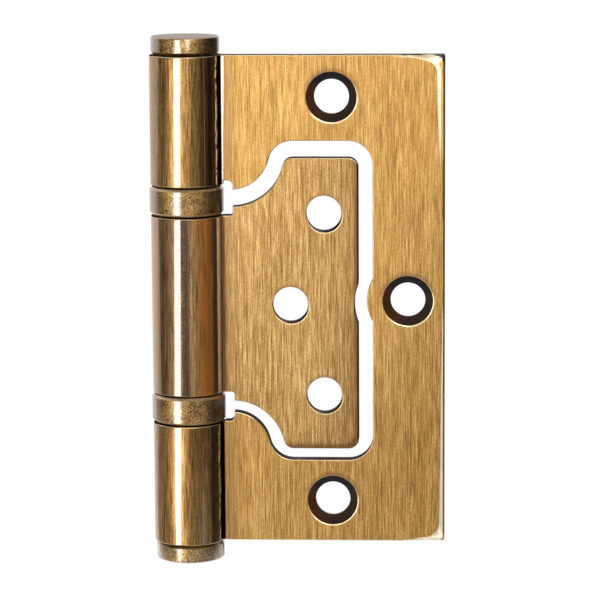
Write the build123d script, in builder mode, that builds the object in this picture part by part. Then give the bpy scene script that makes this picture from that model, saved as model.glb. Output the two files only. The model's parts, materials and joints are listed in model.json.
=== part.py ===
"""Non-mortise ball bearing hinge, shown closed.

X runs along the leaves away from the barrel, Y goes into the jamb and Z is up, all in millimetres.
The origin is on the back of the outer leaf, halfway between its upper and lower screw holes.
"""

from build123d import *
from math import acos, asin, atan2, cos, degrees, radians, sin, sqrt
import os

# leaves
leaf_height = 100.0
sheet = 3.0
outer_width = 52.4
inner_width = 34.9
slot_gap = 2.9
inner_corner = 2.1
corner_round = 0.45
edge_round = 0.2

# metal of the outer leaf left above and below its cut-out, with the gap round the inner leaf inside it
outer_band = 17.15

# far edge of the outer leaf, pressed down in a shallow slope and then a steep one
coined_width = 1.2
coined_depth = 0.3
coined_corner = 2.6
coined_length = 9.0
coined_lip = 0.35
coined_lip_depth = 0.7
coined_lip_corner = 1.2

# the real hinge is punched and assembled a little below the outer leaf's middle
cutout_middle = -0.2
barrel_middle = -0.75

# knuckles, rolled from the sheet round the pin
pin_diameter = 8.5
bore_clearance = 0.05
bend_inner_radius = 1.0
curl_end_angle = 26.0
inner_knuckle_half = 18.2
bearing_space = 6.3

# relief of the leaves beside the barrel
relief_start = 7.45
relief_reach = 9.45
inner_relief_depth = 1.8
outer_relief_depth = 1.9
outer_relief_corner = 1.1
inner_relief_corner = 0.6

# S-curve between the barrel and the straight edges of the slot
lobe_centre_x = 9.0
lobe_radius = 7.9

# metal kept round the middle screw hole, and the inner leaf's notch for it
boss_radius = 8.3
notch_clearance = 2.5
boss_blend = 1.5

# screw holes, with x counted from the pin and margins from the leaf's free edge
screw_hole_diameter = 7.1
countersink_diameter = 10.35
countersink_angle = 90.0
outer_hole_x = 29.5
outer_hole_margin = 8.5
outer_middle_hole_margin = 7.5
inner_hole_margin = 7.0
inner_hole_z = 18.7
inner_hole_stagger = 6.85

# caps
cap_diameter = 13.9
cap_height = 3.75
cap_inner_chamfer = 0.75
cap_outer_round = 0.35
spigot_length = 5.0
pin_end_gap = 0.5
pin_point_chamfer = 0.6

# bearings
shell_diameter = 15.1
shell_wall = 0.7
shell_height = 5.6
shell_chamfer = 0.5
shell_clearance = 0.05
race_pin_clearance = 0.1
race_gap = 0.8
ball_diameter = 1.5
ball_count = 12
ball_clearance = 0.05
cage_thickness = 0.6
cage_side_clearance = 0.1
cage_pocket_clearance = 0.075

# worked out from the sizes above
bore_radius = pin_diameter / 2 + bore_clearance
knuckle_radius = bore_radius + sheet
roll_radius = bore_radius + sheet / 2
bend_radius = bend_inner_radius + sheet / 2
bend_x = sqrt(roll_radius**2 + 2 * roll_radius * bend_radius)
bend_angle = degrees(atan2(bend_radius, bend_x))
pin_x = -outer_hole_x
pin_y = -sheet / 2
half_height = leaf_height / 2
inner_half_height = half_height - outer_band - slot_gap
beyond = 2 * knuckle_radius
outer_hole_z = half_height - outer_hole_margin
outer_middle_hole_x = outer_width - outer_middle_hole_margin
inner_hole_x = inner_width - inner_hole_margin
inner_middle_hole_x = inner_hole_x - inner_hole_stagger
inner_lobe_radius = lobe_radius + slot_gap
lobe_start = relief_reach - lobe_centre_x
lobe_centre_z = inner_knuckle_half + inner_relief_depth + sqrt(inner_lobe_radius**2 - lobe_start**2)
outer_relief_half = lobe_centre_z - sqrt(lobe_radius**2 - lobe_start**2) + outer_relief_depth
same_place = 0.01

section_plane = Plane(origin=(pin_x, pin_y, 0))


def rolled_section(width, side):
    """Section of a sheet whose edge is rolled round the pin, from the back (side 1) or from the front (-1)."""
    near = sheet / 2 * side
    end = radians(-curl_end_angle * side)
    curl = 360 - curl_end_angle - bend_angle
    bend_centre = (bend_x, bend_radius * side)
    with BuildLine() as outline:
        Polyline((bend_x, -near), (width, -near), (width, near), (bend_x, near))
        CenterArc(bend_centre, bend_inner_radius, -90 * side, -(90 - bend_angle) * side)
        CenterArc((0, 0), knuckle_radius, bend_angle * side, curl * side)
        Line(
            (knuckle_radius * cos(end), knuckle_radius * sin(end)),
            (bore_radius * cos(end), bore_radius * sin(end)),
        )
        CenterArc((0, 0), bore_radius, -curl_end_angle * side, -curl * side)
        CenterArc(bend_centre, bend_inner_radius + sheet, (180 + bend_angle) * side, (90 - bend_angle) * side)
    make_face(outline.edges())


def slot_outline(left, relief_half, half, right, corner, lobe):
    """Outline along one edge of the slot: relief beside the barrel, S-curve, rounded corner and mirror image."""
    rise = lobe_centre_z - (half - corner)
    tilt = degrees(asin(rise / (lobe + corner)))
    corner_x = lobe_centre_x + (lobe + corner) * cos(radians(tilt))
    start = degrees(acos(lobe_start / lobe))
    start_z = lobe_centre_z - lobe * sin(radians(start))
    with BuildLine() as outline:
        Polyline((left, 0), (left, relief_half), (relief_reach, relief_half), (relief_reach, start_z))
        CenterArc((lobe_centre_x, lobe_centre_z), lobe, -start, start - tilt)
        CenterArc((corner_x, half - corner), corner, 180 - tilt, tilt - 90)
        Line((corner_x, half), (right - corner, half))
        CenterArc((right - corner, half - corner), corner, 90, -90)
        Line((right, half - corner), (right, 0))
        mirror(about=Plane.XZ)
    make_face(outline.edges())


def leaf_plane(middle):
    """Plane through the pin, across the sheet's thickness, with its Y axis up the hinge."""
    return Plane(origin=(pin_x, pin_y, middle), x_dir=(1, 0, 0), z_dir=(0, -1, 0))


def corners_on(sketch, x, low_z, high_z):
    """Corners of a sketch at x whose distance from its middle lies between two heights."""
    at_x = [v for v in sketch.vertices() if abs(v.X - x) < same_place]
    return [v for v in at_x if low_z - same_place < abs(v.Y) < high_z + same_place]


def screw_holes(face, xs_zs):
    """Countersunk screw holes through the sheet, drilled from a face."""
    with Locations(face):
        with Locations(xs_zs):
            CounterSinkHole(
                radius=screw_hole_diameter / 2,
                counter_sink_radius=countersink_diameter / 2,
                counter_sink_angle=countersink_angle,
            )


def round_flat_edges(leaf):
    """Round the edges of a leaf's flat front and back, but not the smooth lines where its roll begins."""
    flat_edges = leaf.faces().filter_by(Plane.XZ).edges()
    fillet([e for e in flat_edges if e.bounding_box().max.X > pin_x + bend_x + same_place], edge_round)


def round_bearing_rims(leaf):
    """Round the knuckles' rims at the bearings, which the barrel's gap cuts off from the flat edges."""
    rims = leaf.faces().filter_by(Plane.XY).edges().filter_by(GeomType.CIRCLE)
    fillet([e for e in rims if abs(e.radius - knuckle_radius) < same_place], edge_round)


def save(piece, name):
    """Label a finished piece and write it."""
    piece.part.label = name
    export_step(piece.part, f"parts/{name}.step")


os.makedirs("parts", exist_ok=True)

# outer leaf: plate, cut-out, upper and lower knuckle, all one sheet
cutout_right = inner_width + slot_gap
with BuildSketch(leaf_plane(cutout_middle)) as window:
    slot_outline(
        relief_start,
        outer_relief_half,
        inner_half_height + slot_gap,
        cutout_right,
        inner_corner + slot_gap,
        lobe_radius,
    )
    fillet(corners_on(window, relief_reach, outer_relief_half, outer_relief_half), outer_relief_corner)
    with Locations((outer_middle_hole_x, -cutout_middle)):
        Circle(boss_radius, mode=Mode.SUBTRACT)
    fillet(corners_on(window, cutout_right, 0, boss_radius), boss_blend)
with BuildSketch(leaf_plane(barrel_middle)) as barrel_gap:
    with Locations(((relief_start - beyond) / 2, 0)):
        Rectangle(relief_start + beyond, 2 * (inner_knuckle_half + bearing_space))

front_plane = leaf_plane(0).offset(sheet / 2)
coined_start = outer_width - coined_length
with BuildPart() as kept_inside:
    for depth, inset, corner in (
        (0, coined_width, coined_corner),
        (coined_depth, coined_lip, coined_lip_corner),
        (coined_lip_depth, 0, corner_round),
    ):
        with BuildSketch(front_plane.offset(-depth)) as slope:
            far_x = outer_width - inset
            far_z = half_height - inset
            with BuildLine():
                Polyline(
                    (coined_start, -half_height),
                    (far_x, -far_z),
                    (far_x, far_z),
                    (coined_start, half_height),
                    close=True,
                )
            make_face()
            fillet(corners_on(slope, far_x, 0, far_z), corner)
    loft(ruled=True)
with BuildPart() as coined_waste:
    with BuildSketch(front_plane):
        with Locations((coined_start + beyond / 2 + coined_length / 2, 0)):
            Rectangle(coined_length + beyond, leaf_height + beyond)
    extrude(amount=-coined_lip_depth)
    add(kept_inside.part, mode=Mode.SUBTRACT)

with BuildPart() as outer_leaf:
    with BuildSketch(section_plane.offset(-half_height)):
        rolled_section(outer_width, 1)
    extrude(amount=leaf_height)
    fillet(outer_leaf.edges().filter_by(Axis.Y).group_by(Axis.X)[-1], corner_round)
    extrude(window.sketch, amount=beyond, both=True, mode=Mode.SUBTRACT)
    extrude(barrel_gap.sketch, amount=beyond, both=True, mode=Mode.SUBTRACT)
    screw_holes(
        front_plane,
        [(outer_hole_x, outer_hole_z), (outer_hole_x, -outer_hole_z), (outer_middle_hole_x, 0)],
    )
    round_flat_edges(outer_leaf)
    round_bearing_rims(outer_leaf)
    add(coined_waste.part, mode=Mode.SUBTRACT)
save(outer_leaf, "outer_leaf")

# inner leaf: nested plate and middle knuckle, one sheet rolled the other way and countersunk from its back
with BuildSketch(leaf_plane(barrel_middle)) as nested_outline:
    slot_outline(
        -beyond,
        inner_knuckle_half,
        inner_half_height,
        inner_width,
        inner_corner,
        inner_lobe_radius,
    )
    fillet(corners_on(nested_outline, relief_reach, inner_knuckle_half, inner_knuckle_half), inner_relief_corner)
    with Locations((outer_middle_hole_x, 0)):
        Circle(boss_radius + notch_clearance, mode=Mode.SUBTRACT)
    fillet(corners_on(nested_outline, inner_width, 0, boss_radius), boss_blend)

with BuildPart() as inner_leaf:
    with BuildSketch(section_plane.offset(barrel_middle - inner_half_height)):
        rolled_section(inner_width, -1)
    extrude(amount=2 * inner_half_height)
    extrude(nested_outline.sketch, amount=beyond, both=True, mode=Mode.INTERSECT)
    back = Plane(origin=(pin_x, pin_y + sheet / 2, barrel_middle), x_dir=(-1, 0, 0), z_dir=(0, 1, 0))
    screw_holes(
        back, [(-inner_hole_x, inner_hole_z), (-inner_hole_x, -inner_hole_z), (-inner_middle_hole_x, 0)]
    )
    round_flat_edges(inner_leaf)
save(inner_leaf, "inner_leaf")

# pin with the upper cap as its head, turned about the barrel's axis
barrel_axis = Axis((pin_x, pin_y, 0), (0, 0, 1))
pin_radius = pin_diameter / 2
cap_radius = cap_diameter / 2
spigot_top = -half_height + spigot_length
with BuildPart() as hinge_pin:
    with BuildSketch(leaf_plane(0)):
        pin_end = spigot_top + pin_end_gap
        with BuildLine():
            Polyline(
                (0, pin_end),
                (pin_radius - pin_point_chamfer, pin_end),
                (pin_radius, pin_end + pin_point_chamfer),
                (pin_radius, half_height),
                (cap_radius - cap_inner_chamfer, half_height),
                (cap_radius, half_height + cap_inner_chamfer),
                (cap_radius, half_height + cap_height),
                (0, half_height + cap_height),
                close=True,
            )
        make_face()
    revolve(axis=barrel_axis)
    fillet(hinge_pin.edges().group_by(Axis.Z)[-1], cap_outer_round)
save(hinge_pin, "hinge_pin")

# bottom cap with the spigot that closes the lower knuckle's bore
with BuildPart() as bottom_cap:
    with BuildSketch(leaf_plane(0)):
        with BuildLine():
            Polyline(
                (0, spigot_top),
                (pin_radius - pin_point_chamfer, spigot_top),
                (pin_radius, spigot_top - pin_point_chamfer),
                (pin_radius, -half_height),
                (cap_radius - cap_inner_chamfer, -half_height),
                (cap_radius, -half_height - cap_inner_chamfer),
                (cap_radius, -half_height - cap_height),
                (0, -half_height - cap_height),
                close=True,
            )
        make_face()
    revolve(axis=barrel_axis)
    fillet(bottom_cap.edges().group_by(Axis.Z)[0], cap_outer_round)
save(bottom_cap, "bottom_cap")

# ball bearings: a race on each leaf's knuckle, caged balls between them and a shell round both
shell_radius = shell_diameter / 2
race_bore = pin_radius + race_pin_clearance
race_radius = shell_radius - shell_wall - shell_clearance
race_height = (bearing_space - race_gap) / 2
ball_circle = (race_bore + race_radius) / 2
ball_radius = ball_diameter / 2
cage_bore = race_bore + cage_side_clearance
cage_radius = race_radius - cage_side_clearance
pocket_radius = ball_radius + cage_pocket_clearance

for place, direction in (("upper", 1), ("lower", -1)):
    bearing_middle = barrel_middle + (inner_knuckle_half + bearing_space / 2) * direction
    middle_plane = Plane(origin=(pin_x, pin_y, bearing_middle))
    ring_plane = leaf_plane(bearing_middle)

    with BuildPart() as shell:
        with BuildSketch(middle_plane):
            Circle(shell_radius)
            Circle(shell_radius - shell_wall, mode=Mode.SUBTRACT)
        extrude(amount=shell_height / 2, both=True)
        rims = shell.edges().filter_by(GeomType.CIRCLE).group_by(SortBy.RADIUS)[-1]
        chamfer(rims, shell_chamfer)
    save(shell, f"{place}_bearing_shell")

    for kind, side in (("fixed", direction), ("turning", -direction)):
        with BuildPart() as race:
            with BuildSketch(middle_plane.offset(race_gap / 2 * side)):
                Circle(race_radius)
                Circle(race_bore, mode=Mode.SUBTRACT)
            extrude(amount=race_height * side)
            with BuildSketch(ring_plane):
                with Locations((ball_circle, 0)):
                    Circle(ball_radius + ball_clearance)
            revolve(axis=barrel_axis, mode=Mode.SUBTRACT)
        save(race, f"{place}_{kind}_race")

    with BuildPart() as cage:
        with BuildSketch(middle_plane):
            Circle(cage_radius)
            Circle(cage_bore, mode=Mode.SUBTRACT)
            with PolarLocations(ball_circle, ball_count):
                Circle(pocket_radius, mode=Mode.SUBTRACT)
        extrude(amount=cage_thickness / 2, both=True)
    save(cage, f"{place}_ball_cage")

    with BuildPart() as balls:
        with Locations(middle_plane):
            with PolarLocations(ball_circle, ball_count):
                Sphere(ball_radius)
    save(balls, f"{place}_balls")
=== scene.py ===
import bpy
import json
import math
import numpy as np
from mathutils import Matrix, Vector


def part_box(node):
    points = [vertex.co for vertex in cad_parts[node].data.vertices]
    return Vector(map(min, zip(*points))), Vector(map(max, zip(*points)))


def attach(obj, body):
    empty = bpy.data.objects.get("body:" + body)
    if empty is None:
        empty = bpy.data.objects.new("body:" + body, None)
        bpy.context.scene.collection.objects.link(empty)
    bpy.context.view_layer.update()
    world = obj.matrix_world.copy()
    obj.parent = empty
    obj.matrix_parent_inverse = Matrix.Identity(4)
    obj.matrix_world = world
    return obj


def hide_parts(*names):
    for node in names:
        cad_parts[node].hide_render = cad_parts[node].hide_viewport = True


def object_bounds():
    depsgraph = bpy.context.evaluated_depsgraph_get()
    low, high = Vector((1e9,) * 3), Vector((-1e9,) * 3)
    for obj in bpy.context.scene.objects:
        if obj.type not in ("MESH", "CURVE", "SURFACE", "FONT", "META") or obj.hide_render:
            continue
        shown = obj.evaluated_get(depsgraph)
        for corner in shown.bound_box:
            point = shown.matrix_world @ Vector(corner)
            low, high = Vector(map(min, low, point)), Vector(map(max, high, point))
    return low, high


# a closed door hinge in brushed antique brass, seen from just above and a little to the right of its barrel

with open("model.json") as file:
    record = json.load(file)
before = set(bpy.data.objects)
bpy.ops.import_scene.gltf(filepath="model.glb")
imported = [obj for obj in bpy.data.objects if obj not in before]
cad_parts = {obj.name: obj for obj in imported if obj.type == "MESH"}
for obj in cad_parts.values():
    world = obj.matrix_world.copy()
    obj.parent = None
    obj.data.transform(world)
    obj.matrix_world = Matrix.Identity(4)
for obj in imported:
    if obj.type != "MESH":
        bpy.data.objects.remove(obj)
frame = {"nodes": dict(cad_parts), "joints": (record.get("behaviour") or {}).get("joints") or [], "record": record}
cadLow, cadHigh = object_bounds()
scene = bpy.context.scene
joints = {joint["name"]: joint for joint in frame["joints"]}
barrelX, barrelY = joints["leaf_swing"]["pos_m"][:2]
leafLow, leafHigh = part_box("outer_leaf")
innerLow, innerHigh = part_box("inner_leaf")
knuckleRadius = barrelX - leafLow.x
middleLow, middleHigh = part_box("lower_bearing_shell")[1].z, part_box("upper_bearing_shell")[0].z
print("frame loaded", len(frame["nodes"]), "nodes")


class Wire:
    # a socket that can stand in a sum: every operator adds one Math node
    def __init__(self, graph, socket):
        self.graph, self.socket = graph, socket

    def __add__(self, other):
        return self.graph.maths("ADD", self, other)

    def __radd__(self, other):
        return self.graph.maths("ADD", other, self)

    def __sub__(self, other):
        return self.graph.maths("SUBTRACT", self, other)

    def __rsub__(self, other):
        return self.graph.maths("SUBTRACT", other, self)

    def __neg__(self):
        return self.graph.maths("MULTIPLY", self, -1)

    def __mul__(self, other):
        return self.graph.maths("MULTIPLY", self, other)

    def __abs__(self):
        return self.graph.maths("ABSOLUTE", self)


class Graph:
    # the nodes of one material or of the world
    def __init__(self, tree):
        self.tree = tree
        tree.nodes.clear()

    def add(self, kind, settings=None, inputs=None, out=0):
        # a node of this kind: settings first, then the values or wires of its sockets
        node = self.tree.nodes.new(kind)
        for name, value in (settings or {}).items():
            if name == "stops":
                self.fillRamp(node.color_ramp, value)
            else:
                setattr(node, name, value)
        for name, value in (inputs or {}).items():
            if isinstance(value, Wire):
                self.tree.links.new(value.socket, node.inputs[name])
            else:
                node.inputs[name].default_value = value
        return Wire(self, node.outputs[out]) if node.outputs else node

    def fillRamp(self, ramp, stops):
        while len(ramp.elements) > 1:
            ramp.elements.remove(ramp.elements[-1])
        for index, (place, colour) in enumerate(stops):
            stop = ramp.elements[0] if index == 0 else ramp.elements.new(place)
            stop.position, stop.color = place, (*colour, 1)

    def maths(self, operation, first, second=0.0):
        return self.add("ShaderNodeMath", {"operation": operation}, {0: first, 1: second})

    def largest(self, first, second=0.0):
        return self.maths("MAXIMUM", first, second)

    def length(self, first, second):
        # how long a flat vector with these two parts is
        flat = self.add("ShaderNodeCombineXYZ", {}, {0: first, 1: second})
        return self.add("ShaderNodeVectorMath", {"operation": "LENGTH"}, {0: flat}, 1)

    def cornerDepth(self, first, second, turn):
        # how far inside a corner rounded by turn a point lies, from its distances to the corner's two edges
        return turn - self.length(self.largest(turn - first), self.largest(turn - second))

    def rise(self, value, low, high):
        # 0 below low, 1 above high and smooth between
        settings = {"interpolation_type": "SMOOTHSTEP", "clamp": True}
        return self.add("ShaderNodeMapRange", settings, {0: value, 1: low, 2: high, 3: 0.0, 4: 1.0})

    def fall(self, value, low, high):
        # 1 below low, 0 above high and smooth between
        return 1 - self.rise(value, low, high)

    def lifted(self, mask, least):
        # the same mask with least in place of 0
        return mask * (1 - least) + least

    def colour(self, mask, first, second):
        # colours meet in Mix nodes, because a Math node would turn them grey
        first = first if isinstance(first, Wire) else (*first, 1)
        second = second if isinstance(second, Wire) else (*second, 1)
        return self.add("ShaderNodeMix", {"data_type": "RGBA"}, {0: mask, 6: first, 7: second}, 2)

    def paint(self, under, mask, coat):
        # a coat is a colour and how much of what lies under it is covered
        colour, cover = coat
        return self.colour(mask * cover, under, colour)

    def ramp(self, value, stops):
        return self.add("ShaderNodeValToRGB", {"stops": stops}, {0: value})

    def place(self, out):
        node = self.tree.nodes.new("ShaderNodeTexCoord")
        return Wire(self, node.outputs[out])

    def split(self, vector):
        node = self.tree.nodes.new("ShaderNodeSeparateXYZ")
        self.tree.links.new(vector.socket, node.inputs[0])
        return [Wire(self, socket) for socket in node.outputs]

    def locate(self):
        # the shaded point and its normal on the object's own axes
        self.point = self.place("Object")
        self.x, self.y, self.z = self.split(self.point)
        self.normalX, self.normalY, self.normalZ = self.split(self.place("Normal"))

    def noise(self, perMetre, detail, roughness, stretch=(1, 1, 1)):
        moved = self.add("ShaderNodeMapping", {}, {"Vector": self.point, "Scale": stretch})
        inputs = {"Vector": moved, "Scale": perMetre, "Detail": detail, "Roughness": roughness}
        return self.add("ShaderNodeTexNoise", {"noise_dimensions": "3D"}, inputs)

    def bump(self, height, strength, distance, normal=None):
        inputs = {"Height": height, "Strength": strength, "Distance": distance}
        if normal:
            inputs["Normal"] = normal
        return self.add("ShaderNodeBump", {}, inputs)


def newMaterial(name):
    material = bpy.data.materials.new(name)
    material.use_nodes = True
    graph = Graph(material.node_tree)
    graph.locate()
    return material, graph


def finishWith(graph, inputs):
    shader = graph.add("ShaderNodeBsdfPrincipled", {}, inputs)
    graph.add("ShaderNodeOutputMaterial", {}, {"Surface": shader})


def linear(red, green, blue):
    # sRGB values from 0 to 255 as the linear colour that the nodes take
    def one(value):
        value /= 255
        return value / 12.92 if value <= 0.04045 else ((value + 0.055) / 1.055) ** 2.4
    return one(red), one(green), one(blue)


def tones(*colours):
    # a ramp's stops, evenly spread from the dark end to the pale one
    return tuple((index / (len(colours) - 1), linear(*colour)) for index, colour in enumerate(colours))


# brushed and lacquered antique brass of the two leaves and their knuckles. Lengths are in metres, and a pair
# of numbers is where a mask starts and where it ends, in metres or in parts of the normal
leafFinish = {
    # how many streaks per metre, their scale along z, and their share of the tone
    "streaks": ((6400.0, 0.034, 0.5), (4200.0, 0.02, 0.32), (2200.0, 0.022, 0.07), (110.0, 0.3, 0.11)),
    "streakDetail": 2.0,
    "streakRoughness": 0.55,
    "streakEdges": (0.32, 0.68),
    # every other noise: how many per metre, detail, roughness and scale along the axes
    "grain": (5600.0, 2.0, 0.6, (1, 1, 0.4)),
    "grainShare": 0.9,
    "flatTones": tones((134, 98, 60), (194, 147, 79), (234, 194, 124)),
    # the inner leaf's tones run paler at the light end than the outer leaf's, a painted sheen
    "innerTones": tones((120, 90, 60), (198, 153, 87), (248, 214, 154)),
    "barrelTones": tones((78, 54, 32), (170, 126, 70), (222, 176, 108)),
    "middleTones": tones((62, 45, 32), (112, 84, 58), (160, 124, 84)),
    "wornTones": tones((112, 84, 54), (184, 140, 92), (236, 190, 130)),
    "anisotropic": 0.55,
    "specular": 0.2,
    "dullMetallic": 0.3,
    "flatRoughness": 0.4,
    "barrelRoughness": 0.34,
    "middleRoughness": 0.42,
    "patinaRoughness": 0.62,
    "toneRoughness": 0.08,
    "coatRoughness": 0.07,
    "coatIor": 1.9,
    "bumpStrength": 0.35,
    "bumpDepth": 0.00004,
    # which way a face looks, and where the barrel and the middle knuckle end
    "upright": (0.3, 0.6),
    "flat": (0.3, 0.5),
    "sunk": (0.78, 0.9),
    "front": (0.1, 0.3),
    "squareFront": (0.7, 0.8),
    "knuckleFront": (0.0, 0.1),
    "barrelEnd": (1.0, 1.01),
    "middleEnd": 0.0002,
}

# what shows on the knuckles: the middle one is rubbed and pitted, and all turn in to seams at the right.
# a colour with a number beside it is a coat and how much it covers
knuckleFinish = {
    "pits": (2600.0, 3.0, 0.7),
    "pitSpread": 0.12,
    "pitEdges": (0.4, 0.6),
    "pitLeast": 0.5,
    "pitGloss": 0.95,
    "pitted": linear(58, 52, 46),
    "pittedFrom": (-0.095, -0.075),
    "pittedTo": (0.04, 0.12),
    "worn": (0.08, 0.2),
    # painted reflection of the white backdrop in the lacquer, along each knuckle's left side
    "leftBand": linear(232, 190, 152),
    "leftFrom": (0.68, 0.75),
    "leftCover": 0.1,
    "leftCoverMiddle": 0.6,
    "leftGloss": 0.45,
    # painted reflection of the leaf's golden face on the middle knuckle's right side
    "warm": (linear(246, 146, 46), 1.0),
    "warmFrom": (0.3, 0.52),
    "warmTo": (0.69, 0.77),
    "warmLeast": 0.4,
    "ruddy": (linear(124, 66, 26), 0.55),
    "ruddyFrom": (0.415, 0.495),
    "ruddyHeight": (0.005, 0.03),
    # painted shade where the knuckles turn in to their seams at the right, with patina in the seam
    "seam": (linear(60, 38, 23), 0.85),
    "seamFrom": (0.635, 0.695),
    "middleSeamFrom": (0.72, 0.8),
    # painted sheen where the middle knuckle bends into its leaf, which a bump faces forward
    "fold": (linear(172, 138, 102), 0.8),
    "foldFrom": (0.86, 0.88),
    "foldRise": (0.86, 1.0),
    "foldHeight": 0.005,
    # painted highlight along the curled end of the outer knuckles, on duller metal with a bump that tilts it
    "lip": (linear(240, 190, 146), 1.0),
    "lipAt": 0.854,
    "lipWidth": 0.036,
    "lipEdge": 0.005,
    "lipHeight": 0.002,
    "lipDulling": 0.5,
    "lipWaves": (330.0, 3.0, 0.7, (0.2, 0.2, 1)),
    "lipSway": 0.07,
    "lipBreaks": (520.0, 3.0, 0.6, (0.1, 0.1, 1)),
    "lipBreakEdges": (0.4, 0.5),
    "lipUpper": (-0.01, 0.01),
    "lipLowerShare": 0.4,
    # painted shade in the crevice between the curled end and the leaf
    "crevice": (linear(14, 9, 7), 1.0),
}


def knuckleMasks(graph, barrel, tone):
    # what shows where on the three knuckles, each from 0 to 1
    look, turn, end = knuckleFinish, graph.normalX, leafFinish["middleEnd"]
    middle = barrel * graph.rise(graph.z, middleLow - end, middleLow)
    middle = middle * graph.fall(graph.z, middleHigh, middleHigh + end)
    front = graph.rise(-graph.normalY, *leafFinish["knuckleFront"])
    onMiddle, onOuter = middle * front, (barrel - middle) * front
    pits = graph.noise(*look["pits"])
    across = turn + (pits - 0.5) * look["pitSpread"]
    pitted = onMiddle * graph.rise(across, *look["pittedFrom"]) * graph.fall(across, *look["pittedTo"])
    warm = onMiddle * graph.rise(turn, *look["warmFrom"]) * graph.fall(turn, *look["warmTo"])
    folded = onMiddle * graph.rise(turn, *look["foldFrom"])
    outerSeam = onOuter * graph.rise(turn, *look["seamFrom"])
    middleSeam = onMiddle * graph.rise(turn, *look["middleSeamFrom"])
    # the lip goes by the place and not by the normal, so that its own bump can turn it
    sway = (graph.noise(*look["lipWaves"]) - 0.5) * look["lipSway"]
    beyond = (graph.x - barrelX) * (1 / knuckleRadius) + sway - look["lipAt"]
    lipEnd = look["lipWidth"], look["lipWidth"] + look["lipEdge"]
    lipRise = onOuter * graph.rise(beyond, 0.0, look["lipWidth"])
    onLip = lipRise * graph.fall(beyond, *lipEnd)
    unbroken = graph.rise(graph.noise(*look["lipBreaks"]), *look["lipBreakEdges"])
    lipCover = graph.lifted(graph.rise(graph.z, *look["lipUpper"]), look["lipLowerShare"])
    return {
        "middle": middle,
        "left": graph.rise(-turn, *look["leftFrom"]),
        "pitted": pitted,
        "pitCover": pitted * graph.lifted(graph.rise(pits, *look["pitEdges"]), look["pitLeast"]),
        "warm": warm * graph.lifted(tone, look["warmLeast"]),
        "ruddy": onOuter * graph.rise(turn, *look["ruddyFrom"]) * graph.rise(graph.z, *look["ruddyHeight"]),
        "seam": graph.largest(outerSeam, middleSeam) * (1 - folded),
        "fold": folded,
        "foldRise": onMiddle * graph.rise(turn, *look["foldRise"]),
        "lip": onLip * unbroken * lipCover,
        "onLip": onLip,
        "lipRise": lipRise,
        "crevice": onOuter * graph.rise(beyond, *lipEnd),
    }


def knuckleColour(graph, tone, shown):
    look, middle = knuckleFinish, shown["middle"]
    plain, worn = graph.ramp(tone, leafFinish["middleTones"]), graph.ramp(tone, leafFinish["wornTones"])
    middleColour = graph.colour(graph.rise(graph.normalX, *look["worn"]), plain, worn)
    colour = graph.colour(middle, graph.ramp(tone, leafFinish["barrelTones"]), middleColour)
    leftCover = middle * look["leftCoverMiddle"] + look["leftCover"]
    colour = graph.colour(shown["left"] * leftCover, colour, look["leftBand"])
    # among these coats: a painted reflection of the leaf, painted shade at the seams and in the crevice, and
    # painted highlights on the lip and the fold
    for name in ("warm", "ruddy", "seam", "lip", "crevice", "fold"):
        colour = graph.paint(colour, shown[name], look[name])
    return graph.colour(shown["pitCover"], colour, look["pitted"])


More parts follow.
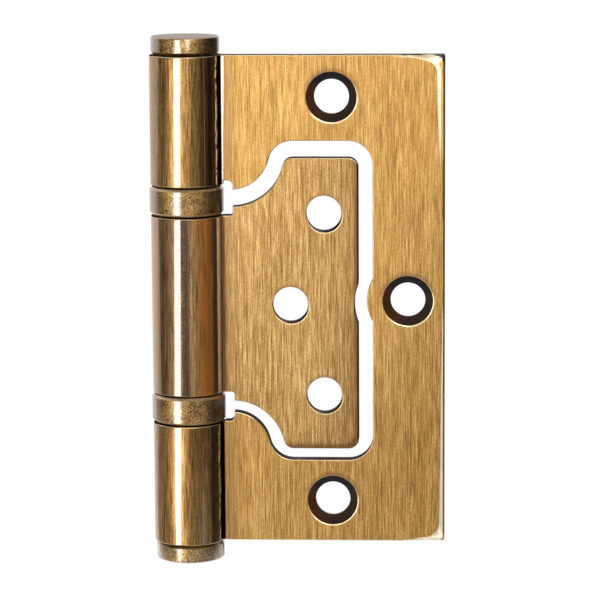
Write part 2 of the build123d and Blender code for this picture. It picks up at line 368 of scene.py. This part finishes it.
# what shows on the flat faces and in the holes: painted shade beside the barrel, above the holes and at the
# inner leaf's edges, and painted highlights on the outer leaf's pressed far edge
faceFinish = {
    "countersinkRadius": 0.0052,
    "holeRadius": 0.00355,
    "mouthShares": (-0.01, 0.02),
    "besideHole": (0.0005, 0.003),
    "aboveReach": (0.0001, 0.0012),
    "aboveCover": 0.5,
    "belowReach": (0.00015, 0.0003),
    "belowLean": 0.4,
    "belowCover": 0.8,
    "wallShare": 0.1,
    "wallEdge": 0.00005,
    # patina on faces that are not brushed, and the same colour as painted shade at the holes' mouths and the inner
    # leaf's far edge
    "patina": linear(34, 20, 15),
    "holePatina": linear(48, 34, 24),
    # painted shade where a hole looks down
    "holeShadow": linear(14, 10, 8),
    "holeShadowTurn": (0.0, 0.55),
    "holeShadowCover": 0.9,
    # painted highlight where a hole looks towards the light
    "holeGlow": linear(92, 46, 18),
    "holeGlowTurn": (0.25, 0.65),
    "holeGlowLean": 0.4,
    "shaded": (linear(150, 112, 68), 0.6),
    "shadedReach": 0.005,
    # painted shade above the holes and by the inner leaf's edges, and the inner leaf's darker tone
    "brown": linear(112, 76, 40),
    # painted highlight on edges that look up and on the rims below the holes
    "shine": linear(255, 232, 180),
    "shineUp": (0.15, 0.35),
    "shineFront": (0.2, 0.4),
    # the inner leaf: darker all over and towards its far edge, painted shade by its edges and a line of it at the
    # far edge
    "innerShade": 0.09,
    "innerFarShade": 0.3,
    "innerReach": 0.011,
    "innerEdgeWidth": (0.0002, 0.002),
    "innerEdgeLength": (0.0145, 0.0175),
    "innerEdgeCover": 0.6,
    "farLine": (0.00025, 0.00035),
    "farLineCover": 0.8,
    "cornerRound": 0.0036,
    "cornerMargin": 0.0007,
    "cornerWidth": 0.0003,
    "cornerExtra": 0.0006,
    "cornerExtraReach": (0.004, 0.026),
    "cornerSoftness": 0.0001,
    "cornerThinning": (0.0012, 0.007),
    "cornerThinnedOutside": 0.00048,
    "cornerThinnedInside": 0.00056,
    "cornerAlongTop": (0.006, 0.012),
    "cornerAlongEdge": (0.015, 0.024),
    # painted highlight on the pressed slope at the top corner
    "cornerPale": linear(244, 219, 182),
    "wedgeEdge": (-0.0003, -0.0001),
    "wedgeDark": linear(70, 48, 24),
    # painted highlight on the pressed slope near the foot
    "footPale": linear(244, 224, 196),
    "footTaper": 0.0129,
    "footWidth": 0.00111,
    "footLean": 0.154,
    "footLength": 0.009,
    "footRound": 0.0026,
    "footOuterRound": 0.001,
    "footEdgeMargin": 0.00025,
    "footMargin": 0.00015,
    "footSoftness": 0.00004,
    "footUpEdge": (0.042, 0.052),
    "footAlong": (0.0078, 0.009),
    "pressedWidth": 0.0012,
    "pressedRun": 0.00085,
    "pressedSlope": 0.373,
}


def screwHoles():
    # x and z of every screw hole's axis, from the mounts in the record, and its radius at the front
    mounts = {mount["name"]: mount for mount in frame["record"]["mounts"]}
    holes = []
    for side, size in (("jamb", "countersinkRadius"), ("door", "holeRadius")):
        radius, outer, middle = faceFinish[size], mounts[side + "_screws"], mounts[side + "_screw_middle"]
        x, _, z = outer["pos_m"]
        reach = outer["dims"]["spacing_y_mm"] / 1000 / 2
        middleX, _, middleZ = middle["pos_m"]
        holes += [(x, z - reach, radius), (x, z + reach, radius), (middleX, middleZ, radius)]
    return holes


def holeMasks(graph):
    # inside a countersink, the painted shade above each hole, the painted highlight on the rim below it
    # and the painted shade along the lower edge of a plain hole's mouth
    look = faceFinish
    inside, above, below, wall = 0.0, 0.0, 0.0, 0.0
    behind = graph.rise(graph.normalY, *leafFinish["front"])
    for holeX, holeZ, radius in screwHoles():
        right, up = graph.x - holeX, graph.z - holeZ
        # at the back every hole's masks start as far out as a countersink's
        beyond = graph.length(right, up) - radius - behind * (look["countersinkRadius"] - radius)
        inside = graph.largest(inside, graph.fall(beyond * (1 / radius), *look["mouthShares"]))
        shade = graph.rise(up, *look["besideHole"]) * graph.fall(beyond, *look["aboveReach"])
        above = graph.largest(above, shade)
        under = right * look["belowLean"] - up
        if radius == look["holeRadius"]:
            beyond = beyond - graph.largest(under) * look["wallShare"]
            wall = graph.largest(wall, graph.fall(beyond, 0.0, look["wallEdge"]))
        rim = graph.rise(under, *look["besideHole"]) * graph.fall(beyond, *look["belowReach"])
        below = graph.largest(below, rim)
    return inside, above, below, wall


def cornerMasks(graph):
    # the painted highlight in a band along the far edge's pressed slope, which turns round the top corner and
    # dies out along the top, and the dark wedge left outside its turn
    look = faceFinish
    fromEdge, fromTop = leafHigh.x - graph.x, leafHigh.z - graph.z
    depth = graph.cornerDepth(fromEdge, fromTop, look["cornerRound"])
    thinned = graph.rise(fromEdge, *look["cornerThinning"])
    depthInBand = depth - look["cornerMargin"] + thinned * look["cornerThinnedOutside"]
    extra = graph.fall(fromEdge + fromTop, *look["cornerExtraReach"]) * look["cornerExtra"]
    depthLeft = depthInBand - extra + thinned * look["cornerThinnedInside"]
    soft, width = look["cornerSoftness"], look["cornerWidth"]
    pale = graph.rise(depthInBand, 0.0, soft) * graph.fall(depthLeft, width, width + soft)
    pale = pale * graph.fall(fromEdge, *look["cornerAlongTop"])
    pale = pale * graph.fall(fromTop, *look["cornerAlongEdge"])
    return pale, graph.fall(depth, *look["wedgeEdge"])


def footMasks(graph):
    # the painted highlight in a band along the far edge from its middle down, wider towards the foot, where it
    # turns the corner, and the height that the pressed edge lost, so that a bump can face it forward again
    look = faceFinish
    fromEdge, fromFoot = leafHigh.x - graph.x, graph.z - leafLow.z
    inward = fromEdge + fromFoot * look["footTaper"] - look["footWidth"]
    upward = fromFoot + (fromEdge - look["footLength"]) * look["footLean"]
    inner = graph.cornerDepth(inward, upward, look["footRound"])
    margins = fromEdge - look["footEdgeMargin"], fromFoot - look["footMargin"]
    outer = graph.cornerDepth(*margins, look["footOuterRound"])
    soft = look["footSoftness"]
    pale = graph.fall(inner, -soft, soft) * graph.rise(outer, -soft, soft)
    pale = pale * graph.fall(fromFoot, *look["footUpEdge"]) * graph.fall(fromEdge, *look["footAlong"])
    side = graph.largest(graph.largest(look["pressedWidth"] - fromEdge), -upward)
    return pale, graph.maths("MINIMUM", side, look["pressedRun"]) * look["pressedSlope"]


def innerMasks(graph, grain):
    # painted shade by the inner leaf's lower and far edges and in a line at the far one, and the whole leaf
    # darker, most near that edge
    look = faceFinish
    fromEdge, fromFoot = innerHigh.x - graph.x, graph.z - innerLow.z
    depth = graph.cornerDepth(fromEdge, fromFoot, look["cornerRound"])
    brown = graph.fall(fromEdge, *look["innerEdgeLength"]) * graph.fall(depth, *look["innerEdgeWidth"])
    brown = brown * (grain + 1) * look["innerEdgeCover"]
    shade = graph.fall(fromEdge, 0.0, look["innerReach"]) * look["innerFarShade"] + look["innerShade"]
    return graph.largest(brown, shade), graph.fall(fromEdge, *look["farLine"]) * look["farLineCover"]


def faceColour(graph, tone, grain, besideHoles, footHighlightMask, inner):
    look = faceFinish
    above, below, wall = besideHoles
    front = graph.rise(-graph.normalY, *leafFinish["front"])
    brown = above * look["aboveCover"]
    if inner:
        edgeBrown, farLine = innerMasks(graph, grain)
        brown, wall = graph.largest(brown, edgeBrown), graph.largest(wall, farLine)
    upward = graph.rise(graph.normalZ, *look["shineUp"]) * graph.rise(-graph.normalY, *look["shineFront"])
    shine = graph.largest(upward, below * front * look["belowCover"])
    pale, wedge = cornerMasks(graph)
    colour = graph.ramp(tone, leafFinish["innerTones" if inner else "flatTones"])
    barrelEdge = barrelX + knuckleRadius
    # painted shade on the leaf beside the barrel
    colour = graph.paint(colour, graph.fall(graph.x - barrelEdge, 0.0, look["shadedReach"]), look["shaded"])
    colour = graph.colour(brown * front, colour, look["brown"])
    colour = graph.colour(shine, colour, look["shine"])
    colour = graph.colour(pale * front, colour, look["cornerPale"])
    colour = graph.colour(wedge * front, colour, look["wedgeDark"])
    colour = graph.colour(wall * front, colour, look["patina"])
    squareFront = graph.rise(-graph.normalY, *leafFinish["squareFront"])
    return graph.colour(footHighlightMask * squareFront, colour, look["footPale"])


def holeColour(graph, grain):
    # the patina in a hole, with painted shade where it looks down and a painted highlight where it looks to the
    # light
    look = faceFinish
    shadow = graph.rise(-graph.normalZ, *look["holeShadowTurn"]) * look["holeShadowCover"]
    toLight = graph.normalX + graph.normalZ * look["holeGlowLean"]
    glow = graph.rise(toLight, *look["holeGlowTurn"]) * grain
    return graph.colour(glow, graph.colour(shadow, look["holePatina"], look["holeShadow"]), look["holeGlow"])


def brushTone(graph):
    # streaks drawn out along the leaf under a fine grain, from 0 for dark to 1 for pale
    look = leafFinish
    tone = 0.0
    for perMetre, alongZ, share in look["streaks"]:
        streak = graph.noise(perMetre, look["streakDetail"], look["streakRoughness"], (1, 1, alongZ))
        tone = tone + graph.rise(streak, *look["streakEdges"]) * share
    grain = graph.noise(*look["grain"])
    return tone + (grain - 0.5) * look["grainShare"], grain


def brushedBrass(name, inner):
    material, graph = newMaterial(name)
    look = leafFinish
    tone, grain = brushTone(graph)
    inHole, *besideHoles = holeMasks(graph)
    facing = abs(graph.normalY)
    countersink = inHole * graph.fall(facing, *look["sunk"])
    around = (graph.x - barrelX) * (1 / knuckleRadius)
    barrel = graph.fall(abs(graph.normalZ), *look["upright"]) * graph.fall(around, *look["barrelEnd"])
    brushed = graph.largest(graph.rise(facing, *look["flat"]) * (1 - countersink), barrel)
    shown = knuckleMasks(graph, barrel, tone)
    footHighlightMask, pressed = footMasks(graph)

    face = faceColour(graph, tone, grain, besideHoles, footHighlightMask, inner)
    colour = graph.colour(barrel, face, knuckleColour(graph, tone, shown))
    sunkColour = graph.colour(countersink, faceFinish["patina"], holeColour(graph, grain))
    colour = graph.colour(brushed, sunkColour, colour)
    roughness = look["flatRoughness"] + barrel * (look["barrelRoughness"] - look["flatRoughness"])
    roughness = roughness + shown["middle"] * (look["middleRoughness"] - look["barrelRoughness"])
    roughness = look["patinaRoughness"] + brushed * (roughness - look["patinaRoughness"])
    bare = graph.largest(shown["pitted"] * knuckleFinish["pitGloss"], shown["crevice"])
    front = graph.rise(-graph.normalY, *look["front"])
    # heights in metres, which the inner bump takes as they are
    raised = shown["lipRise"] * knuckleFinish["lipHeight"] + shown["foldRise"] * knuckleFinish["foldHeight"]
    raised = raised + pressed * (1 - barrel) * front
    metallic = graph.lifted(brushed, look["dullMetallic"]) - shown["onLip"] * knuckleFinish["lipDulling"]
    finishWith(graph, {
        "Base Color": colour,
        "Metallic": metallic,
        "Roughness": roughness + (tone - 0.5) * look["toneRoughness"],
        "Specular IOR Level": look["specular"],
        "Anisotropic": look["anisotropic"],
        "Coat Weight": brushed * (1 - bare) * (1 - shown["left"] * barrel * knuckleFinish["leftGloss"]),
        "Coat Roughness": look["coatRoughness"],
        "Coat IOR": look["coatIor"],
        "Normal": graph.bump(tone, look["bumpStrength"], look["bumpDepth"], graph.bump(raised, 1.0, 1.0)),
    })
    return material


# tumbled and mottled antique brass of the caps and the bearing shells
capFinish = {
    "tones": tones((74, 56, 36), (146, 112, 66), (220, 178, 104)),
    "grain": (4200.0, 3.0, 0.65),
    "clouds": (420.0, 2.0, 0.5),
    "cloudShare": 0.3,
    "mottle": (0.36, 0.64),
    # painted shade on the right side of the caps and shells
    "flank": (linear(84, 44, 14), 0.55),
    "flankTurn": (0.45, 0.75),
    # painted reflection of the white backdrop along the left side
    "leftBand": (linear(164, 134, 104), 0.7),
    "leftTurn": (0.66, 0.76),
    "rim": (linear(204, 160, 90), 0.4),
    "rimFrom": (0.25, 0.5),
    "rimTo": (0.85, 0.97),
    "end": (linear(140, 120, 110), 0.8),
    "endFrom": (0.9, 0.99),
    "endDulling": 0.65,
    "roughness": 0.36,
    "grainRoughness": 0.15,
    "endRoughness": 0.2,
    "coatRoughness": 0.17,
    "coatIor": 2.0,
    "bumpStrength": 0.3,
    "bumpDepth": 0.00005,
}


def tumbledBrass(name):
    material, graph = newMaterial(name)
    look = capFinish
    steep = abs(graph.normalZ)
    grain, clouds = graph.noise(*look["grain"]), graph.noise(*look["clouds"])
    mottle = graph.rise(grain + (clouds - 0.5) * look["cloudShare"], *look["mottle"])
    end = graph.rise(steep, *look["endFrom"])
    colour = graph.ramp(mottle, look["tones"])
    colour = graph.paint(colour, graph.rise(graph.normalX, *look["flankTurn"]), look["flank"])
    colour = graph.paint(colour, graph.rise(-graph.normalX, *look["leftTurn"]), look["leftBand"])
    rim = graph.rise(steep, *look["rimFrom"]) * graph.fall(steep, *look["rimTo"])
    colour = graph.paint(colour, rim, look["rim"])
    colour = graph.paint(colour, end, look["end"])
    finishWith(graph, {
        "Base Color": colour,
        "Metallic": 1.0,
        "Roughness": look["roughness"] + grain * look["grainRoughness"] + end * look["endRoughness"],
        "Coat Weight": 1 - end * look["endDulling"],
        "Coat Roughness": look["coatRoughness"],
        "Coat IOR": look["coatIor"],
        "Normal": graph.bump(mottle, look["bumpStrength"], look["bumpDepth"]),
    })
    return material


# what the bearings hold inside: ground races, polished balls and stamped cages, each with its dark colour,
# its pale colour and its roughness
bearingFinish = {
    "race": (linear(150, 150, 152), linear(196, 196, 198), 0.3),
    "ball": (linear(188, 188, 192), linear(214, 214, 218), 0.08),
    "cage": (linear(150, 112, 60), linear(196, 156, 92), 0.34),
    "lines": (9000.0, 2.0, 0.5, (0.1, 0.1, 1)),
    "lineStrength": 0.1,
    "lineDepth": 0.00002,
    "smears": (700.0, 3.0, 0.6),
    "smearEdges": (0.35, 0.65),
    "smearRoughness": 0.12,
    # painted shade near the shells, where the gaps between the parts are dark
    "grease": linear(22, 19, 17),
    "greaseRoughness": 0.3,
    "greaseSpread": 0.0004,
    "greaseReach": (-0.0012, -0.0006),
}


def bearingMetal(kind):
    # fine lines round the axis from grinding, smears of darker and paler metal, and painted shade with duller
    # metal near the shell
    look = bearingFinish
    dark, pale, rough = look[kind]
    material, graph = newMaterial(kind + " metal")
    lines, smears = graph.noise(*look["lines"]), graph.noise(*look["smears"])
    beyond = graph.length(graph.x - barrelX, graph.y - barrelY) - knuckleRadius
    gapShaded = graph.rise(beyond + smears * look["greaseSpread"], *look["greaseReach"])
    metal = graph.colour(graph.rise(smears, *look["smearEdges"]), dark, pale)
    finishWith(graph, {
        "Base Color": graph.colour(gapShaded, metal, look["grease"]),
        "Metallic": 1.0,
        "Roughness": rough + smears * look["smearRoughness"] + gapShaded * look["greaseRoughness"],
        "Normal": graph.bump(lines, look["lineStrength"], look["lineDepth"]),
    })
    return material


leafBrass = {
    "outer_leaf": brushedBrass("outer leaf brass", False),
    "inner_leaf": brushedBrass("inner leaf brass", True),
}
capBrass = tumbledBrass("cap brass")
bearingMetals = {kind: bearingMetal(kind) for kind in ("race", "ball", "cage")}


def finishOf(name):
    # a race, ball ring or cage goes by its last word, a leaf by its whole name, and the rest is cap brass
    for kind, metal in bearingMetals.items():
        if kind in name.split("_")[-1]:
            return metal
    return leafBrass.get(name, capBrass)


for name, node in frame["nodes"].items():
    if not node.data.materials:
        node.data.materials.append(finishOf(name))
    for slot in node.material_slots:
        slot.material = finishOf(name)
print("finishes assigned")

# turned pieces: the pin with its head, the lower cap and the two bearing shells; lengths in metres
turned = {
    "steps": 192,
    "pinRadius": 0.00425,
    "headHeight": 0.00375,
    "innerChamfer": 0.00075,
    "outerRound": 0.00035,
    "pointChamfer": 0.0006,
    "shellWall": 0.0007,
    "shellChamfer": 0.0005,
    "roundSteps": 8,
    "creaseAngle": 30.0,
}


def turnedSurface(name, profile, body, nodeName):
    # each point (radius, height) of the profile is carried round the barrel's axis:
    # x = axis + radius cos(angle), y = axis + radius sin(angle), z = height.
    # a profile that starts and ends on the axis gets one point at each pole, and any other closes on itself
    rows = np.array(profile)
    poles = rows[0, 0] == 0
    ring = rows[1:-1] if poles else rows
    steps, count = turned["steps"], len(ring)
    angles = np.linspace(0, 2 * math.pi, steps, endpoint=False)
    x = barrelX + ring[:, :1] * np.cos(angles)
    y = barrelY + ring[:, :1] * np.sin(angles)
    z = np.repeat(ring[:, 1:], steps, axis=1)
    points = np.stack((x, y, z), axis=2).reshape(-1, 3)
    row = np.arange(count - 1 if poles else count)[:, None] * steps
    step = np.arange(steps)[None, :]
    beside = (step + 1) % steps
    above = (row + steps) % (count * steps)
    corners = (row + step, row + beside, above + beside, above + step)
    faces = np.stack(corners, axis=2).reshape(-1, 4).tolist()
    if poles:
        last = (count - 1) * steps
        low, high = rows[0, 1], rows[-1, 1]
        points = np.vstack((points, (barrelX, barrelY, low), (barrelX, barrelY, high)))
        bottom, top = len(points) - 2, len(points) - 1
        here, following = step[0], beside[0]
        faces += np.stack((np.full(steps, bottom), following, here), axis=1).tolist()
        faces += np.stack((last + here, last + following, np.full(steps, top)), axis=1).tolist()
    mesh = bpy.data.meshes.new(name)
    mesh.from_pydata(points.tolist(), [], faces)
    mesh.shade_smooth()
    mesh.set_sharp_from_angle(angle=math.radians(turned["creaseAngle"]))
    mesh.materials.append(capBrass)
    piece = bpy.data.objects.new(name, mesh)
    scene.collection.objects.link(piece)
    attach(piece, body)
    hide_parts(nodeName)


def quarter(radius, height, size, start):
    # points (radius + size cos(angle), height + size sin(angle)) over 90 degrees from the start angle
    angles = np.radians(np.linspace(start, start + 90, turned["roundSteps"] + 1))
    return [(radius + size * math.cos(angle), height + size * math.sin(angle)) for angle in angles]


def makePin():
    low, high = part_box("hinge_pin")
    head, pin, point = (high.x - low.x) / 2, turned["pinRadius"], turned["pointChamfer"]
    under, chamfer, soft = high.z - turned["headHeight"], turned["innerChamfer"], turned["outerRound"]
    profile = [
        (0, low.z), (pin - point, low.z), (pin, low.z + point), (pin, under),
        (head - chamfer, under), (head, under + chamfer),
        *quarter(head - soft, high.z - soft, soft, 0), (0, high.z),
    ]
    turnedSurface("pin", profile, "jamb_side", "hinge_pin")


def makeLowerCap():
    low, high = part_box("bottom_cap")
    head, pin, point = (high.x - low.x) / 2, turned["pinRadius"], turned["pointChamfer"]
    over, chamfer, soft = low.z + turned["headHeight"], turned["innerChamfer"], turned["outerRound"]
    profile = [
        (0, low.z), *quarter(head - soft, low.z + soft, soft, -90),
        (head, over - chamfer), (head - chamfer, over),
        (pin, over), (pin, high.z - point), (pin - point, high.z), (0, high.z),
    ]
    turnedSurface("lower_cap", profile, "jamb_side", "bottom_cap")


def makeShell(place):
    low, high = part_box(place + "_bearing_shell")
    outer, chamfer = (high.x - low.x) / 2, turned["shellChamfer"]
    inner = outer - turned["shellWall"]
    profile = [
        (outer - chamfer, low.z), (outer, low.z + chamfer), (outer, high.z - chamfer),
        (outer - chamfer, high.z), (inner, high.z), (inner, low.z),
    ]
    turnedSurface(place + "_shell", profile, "jamb_side", place + "_bearing_shell")


makePin()
makeLowerCap()
for place in ("upper", "lower"):
    makeShell(place)
print("turned pieces made")

# studio: pale floor, white behind and pale overhead, and dark in front, low down and to the right for the
# metal to show. Floor and background are lifted to white where the camera sees them
studio = {
    "floorDrop": 0.3,
    "floorHalf": 1.0,
    "floorColour": (0.86, 0.86, 0.86, 1),
    "floorLift": 0.9,
    "floorGlossFrom": (0.0, 0.1),
    "frontGrey": 0.02,
    "backWhite": 1.0,
    "rightShade": 1.4,
    "backEdge": 0.05,
    "backFoot": 0.09,
    "backLean": 4.2,
    "overheadFrom": (0.3, 0.9),
    "overheadLevel": 0.6,
    "white": (1, 1, 1, 1),
}

# a tall soft light at the front left, a narrow one at the right and one from above. The azimuth is in degrees
# round the barrel from the front towards the right, and aim is the height that a lamp points at
lamps = {
    "key": {
        "azimuth": -27.2, "reach": 0.7, "height": -0.095, "aim": -0.095,
        "size": (0.19, 0.48), "power": 2.35, "tilt": -42.0,
    },
    "side": {
        "azimuth": 67.0, "reach": 0.7, "height": -0.03, "aim": -0.03,
        "size": (0.012, 0.14), "power": 0.009, "tilt": 0.0,
    },
    "top": {
        "azimuth": 17.0, "reach": 0.55, "height": 0.19, "aim": 0.0,
        "size": (0.22, 0.3), "power": 1.5, "tilt": -42.0,
    },
}


def makeWorld():
    world = bpy.data.worlds.new("studio")
    world.use_nodes = True
    scene.world = world
    graph = Graph(world.node_tree)
    right, back, up = graph.split(graph.place("Generated"))
    edge = studio["backEdge"]
    lean = graph.largest(-studio["backFoot"] - up) * studio["backLean"]
    shade = graph.largest(right) * studio["rightShade"]
    behind = graph.rise(back - shade - lean, -edge, edge)
    above = graph.rise(up, *studio["overheadFrom"]) * studio["overheadLevel"]
    level = studio["frontGrey"] + behind * (studio["backWhite"] - studio["frontGrey"])
    level = graph.largest(graph.largest(level, above), graph.add("ShaderNodeLightPath"))
    shader = graph.add("ShaderNodeBackground", {}, {"Strength": level, "Color": studio["white"]})
    graph.add("ShaderNodeOutputWorld", {}, {"Surface": shader})


def makeFloor():
    half, level = studio["floorHalf"], cadLow.z - studio["floorDrop"]
    mesh = bpy.data.meshes.new("floor")
    corners = [(-half, -half, level), (half, -half, level), (half, half, level), (-half, half, level)]
    mesh.from_pydata(corners, [], [(0, 1, 2, 3)])
    floor = bpy.data.objects.new("floor", mesh)
    scene.collection.objects.link(floor)
    material, graph = newMaterial("floor")
    camera = graph.add("ShaderNodeLightPath")
    glossy = graph.add("ShaderNodeLightPath", {}, {}, "Is Glossy Ray")
    behind = graph.rise(graph.y, *studio["floorGlossFrom"])
    shown = graph.largest(camera, glossy * behind) * studio["floorLift"]
    plain = graph.add("ShaderNodeBsdfDiffuse", {}, {"Color": studio["floorColour"]})
    lift = graph.add("ShaderNodeEmission", {}, {"Color": studio["white"], "Strength": shown})
    both = graph.add("ShaderNodeAddShader", {}, {0: plain, 1: lift})
    graph.add("ShaderNodeOutputMaterial", {}, {"Surface": both})
    mesh.materials.append(material)


def makeLamp(name):
    lamp = lamps[name]
    turn = math.radians(lamp["azimuth"])
    across, forward = lamp["reach"] * math.sin(turn), lamp["reach"] * math.cos(turn)
    place = Vector((barrelX + across, barrelY - forward, lamp["height"]))
    data = bpy.data.lights.new(name, "AREA")
    data.shape = "RECTANGLE"
    data.size, data.size_y = lamp["size"]
    data.energy = lamp["power"]
    light = bpy.data.objects.new(name, data)
    scene.collection.objects.link(light)
    light.location = place
    towards = Vector((barrelX, barrelY, lamp["aim"])) - place
    light.rotation_euler = towards.to_track_quat("-Z", "Y").to_euler()
    light.rotation_euler.rotate_axis("Z", math.radians(lamp["tilt"]))


makeWorld()
makeFloor()
for name in lamps:
    makeLamp(name)
print("studio lit")

# the photograph's viewpoint, in metres from the barrel's axis at mid-height and in degrees. The focal length
# and the frame's width are in the photograph's pixels, the sensor's width in millimetres
viewpoint = {
    "fromBarrel": (0.0543, -0.6029, 0.1005),
    "yaw": -2.98,
    "pitch": 9.46,
    "roll": 0.35,
    "focalPixels": 3003.0,
    "framePixels": 600.0,
    "sensorWidth": 36.0,
    "nearest": 0.01,
    "farthest": 50.0,
}


def makeCamera():
    data = bpy.data.cameras.new("camera")
    data.sensor_width = viewpoint["sensorWidth"]
    data.lens = data.sensor_width * viewpoint["focalPixels"] / viewpoint["framePixels"]
    data.clip_start, data.clip_end = viewpoint["nearest"], viewpoint["farthest"]
    camera = bpy.data.objects.new("camera", data)
    scene.collection.objects.link(camera)
    yaw, pitch, roll = (math.radians(viewpoint[name]) for name in ("yaw", "pitch", "roll"))
    ahead = Vector((math.sin(yaw) * math.cos(pitch), math.cos(yaw) * math.cos(pitch), -math.sin(pitch)))
    right = Vector((math.cos(yaw), -math.sin(yaw), 0))
    down = ahead.cross(right)
    turnedRight = math.cos(roll) * right + math.sin(roll) * down
    turnedDown = math.cos(roll) * down - math.sin(roll) * right
    axes = Matrix((turnedRight, -turnedDown, -ahead)).transposed()
    offset = Vector(viewpoint["fromBarrel"])
    camera.matrix_world = Matrix.Translation(Vector((barrelX, barrelY, 0)) + offset) @ axes.to_4x4()
    scene.camera = camera


makeCamera()
print("camera placed")
scene.view_settings.view_transform = "Standard"
